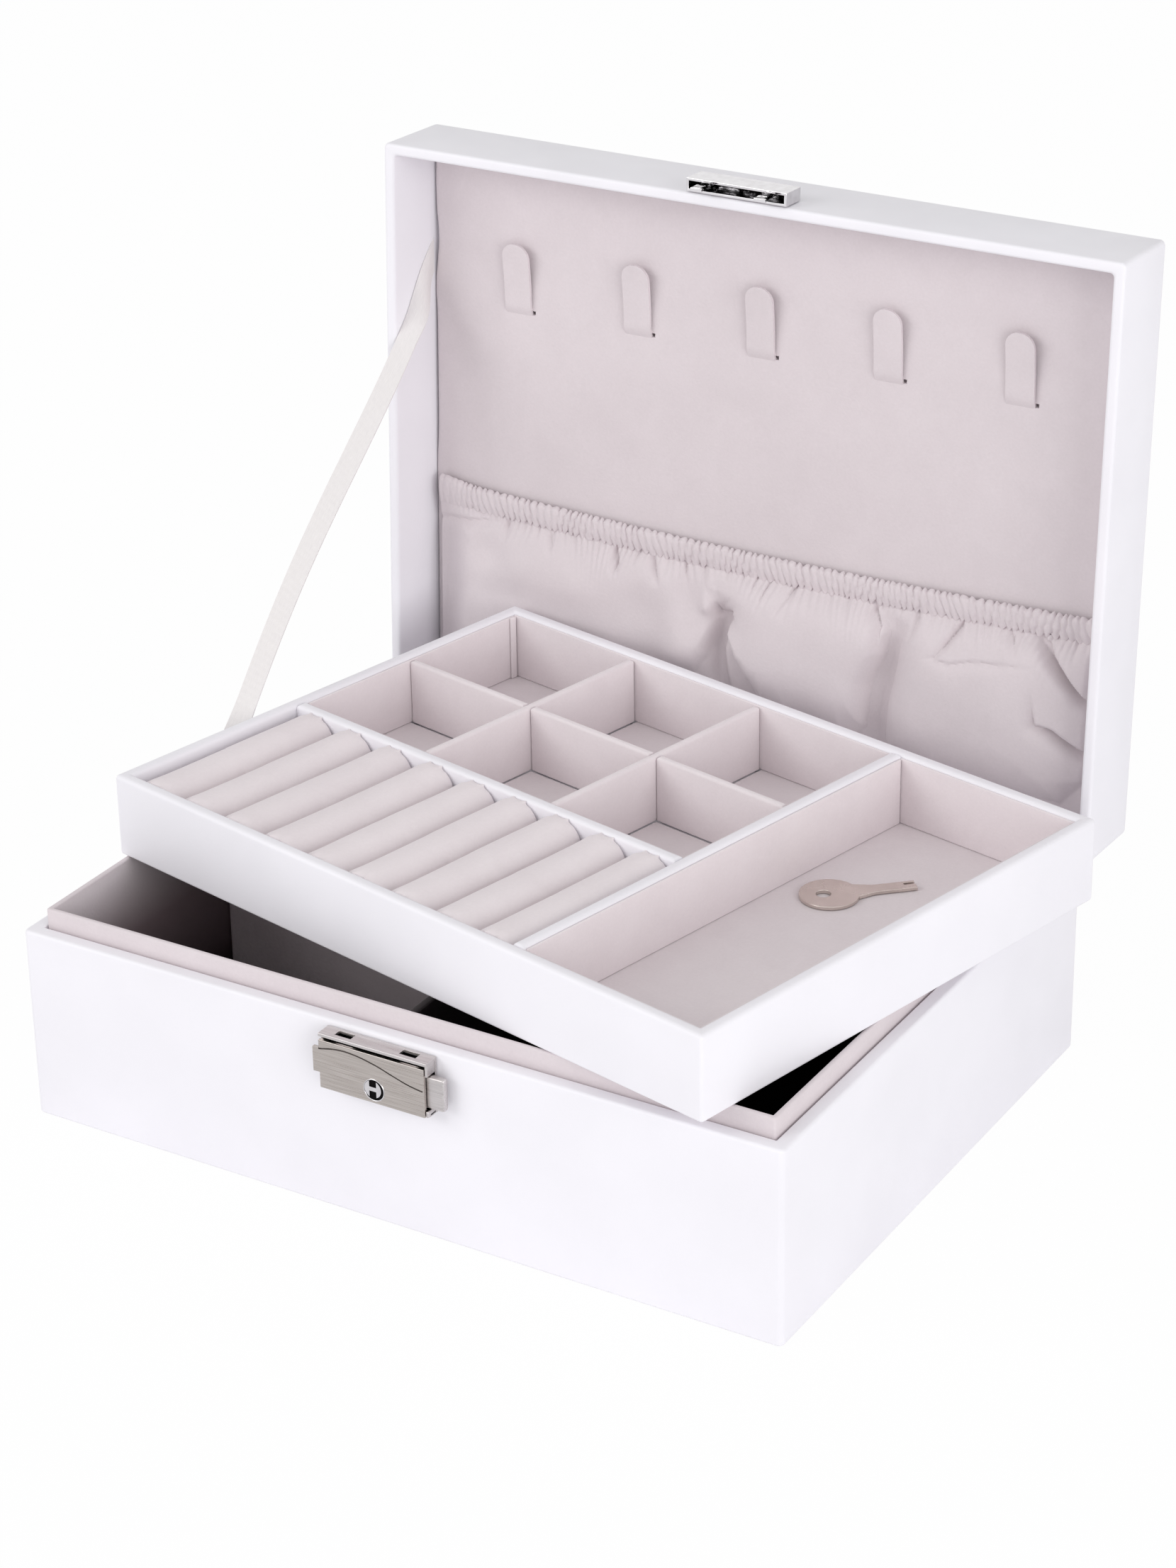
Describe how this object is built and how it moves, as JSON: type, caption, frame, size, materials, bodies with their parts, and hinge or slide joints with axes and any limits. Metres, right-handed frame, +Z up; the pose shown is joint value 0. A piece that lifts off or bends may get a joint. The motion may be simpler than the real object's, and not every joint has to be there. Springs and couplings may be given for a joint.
{
  "type": "tiered jewelry box",
  "caption": "Two-layer leather jewelry box with a hinged lid, necklace hooks, gathered pocket, ribbon stay, push-button lock and a loose divided tray with ring rolls.",
  "frame": {"origin": "middle of the underside of the base, on the surface that the box stands on", "axes": "+Z up, +X to the right seen from the lock, -Y towards the front, where the lock is"},
  "size_m": [0.2504, 0.2223, 0.233],
  "materials": {
    "white_leather": "white grained leatherette over board, satin",
    "grey_suede": "pale grey suede cloth, matte nap",
    "white_satin": "woven satin ribbon",
    "brushed_steel": "brushed across",
    "chrome": "polished chrome plate",
    "nickel": "stamped steel, nickel plated"
  },
  "bodies": {
    "base": {"base_bottom_board": "white_leather", "base_front_wall": "white_leather", "base_back_wall": "white_leather", "base_left_wall": "white_leather", "base_right_wall": "white_leather", "liner_front": "grey_suede", "liner_back": "grey_suede", "liner_left": "grey_suede", "liner_right": "grey_suede", "base_floor_pad": "grey_suede", "long_partition": "grey_suede", "short_partition": "grey_suede", "spine_hinge": "white_leather", "ribbon_stay": "white_satin", "lock_body": "brushed_steel", "lock_front_plate": "brushed_steel", "button_spring": "chrome"},
    "lid": {"lid_top_board": "white_leather", "lid_front_wall": "white_leather", "lid_back_wall": "white_leather", "lid_left_wall": "white_leather", "lid_right_wall": "white_leather", "lid_lining_panel": "grey_suede", "necklace_hook_1": "grey_suede", "necklace_hook_2": "grey_suede", "necklace_hook_3": "grey_suede", "necklace_hook_4": "grey_suede", "necklace_hook_5": "grey_suede", "lid_pocket": "grey_suede", "pocket_elastic_hem": "grey_suede", "strike_plate": "chrome"},
    "tray": {"tray_bottom_board": "white_leather", "tray_front_wall": "white_leather", "tray_back_wall": "white_leather", "tray_left_wall": "white_leather", "tray_right_wall": "white_leather", "tray_floor_lining": "grey_suede", "long_compartment_divider": "white_leather", "ring_section_divider": "white_leather", "row_divider": "grey_suede", "column_divider_1": "grey_suede", "column_divider_2": "grey_suede", "ring_roll_1": "grey_suede", "ring_roll_2": "grey_suede", "ring_roll_3": "grey_suede", "ring_roll_4": "grey_suede", "ring_roll_5": "grey_suede", "ring_roll_6": "grey_suede", "ring_roll_7": "grey_suede", "ring_roll_8": "grey_suede", "ring_roll_9": "grey_suede"},
    "release_button": {"lock_button": "brushed_steel"},
    "plug": {"lock_plug": "chrome"},
    "loose_key": {"key": "nickel"}
  },
  "joints": [
    {"name": "lid_hinge", "type": "hinge", "parent": "base", "child": "lid", "pos_m": [0, 0.0885, 0.0532], "axis": [1, 0, 0], "range_deg": [0, 92.4], "deforming": ["ribbon_stay", "spine_hinge"]},
    {"name": "tray_slide", "type": "slide", "parent": "base", "child": "tray", "axis": [0, -1, 0], "range_m": [0, 0.228]},
    {"name": "button_slide", "type": "slide", "parent": "base", "child": "release_button", "axis": [-1, 0, 0], "range_m": [0, 0.0025], "stiffness_N_per_m": 200, "springref_m": -0.002, "deforming": ["button_spring"]},
    {"name": "plug_turn", "type": "hinge", "parent": "base", "child": "plug", "pos_m": [0, -0.0907, 0.044], "axis": [0, 1, 0], "range_deg": [0, 90]},
    {"name": "key_lift", "type": "slide", "parent": "tray", "child": "loose_key", "axis": [0, 0, 1], "range_m": [0, 0.05]}
  ],
  "couplings": [
    {"joint": "tray_slide", "follows": "lid_hinge", "m_per_rad": 0.14}
  ]
}
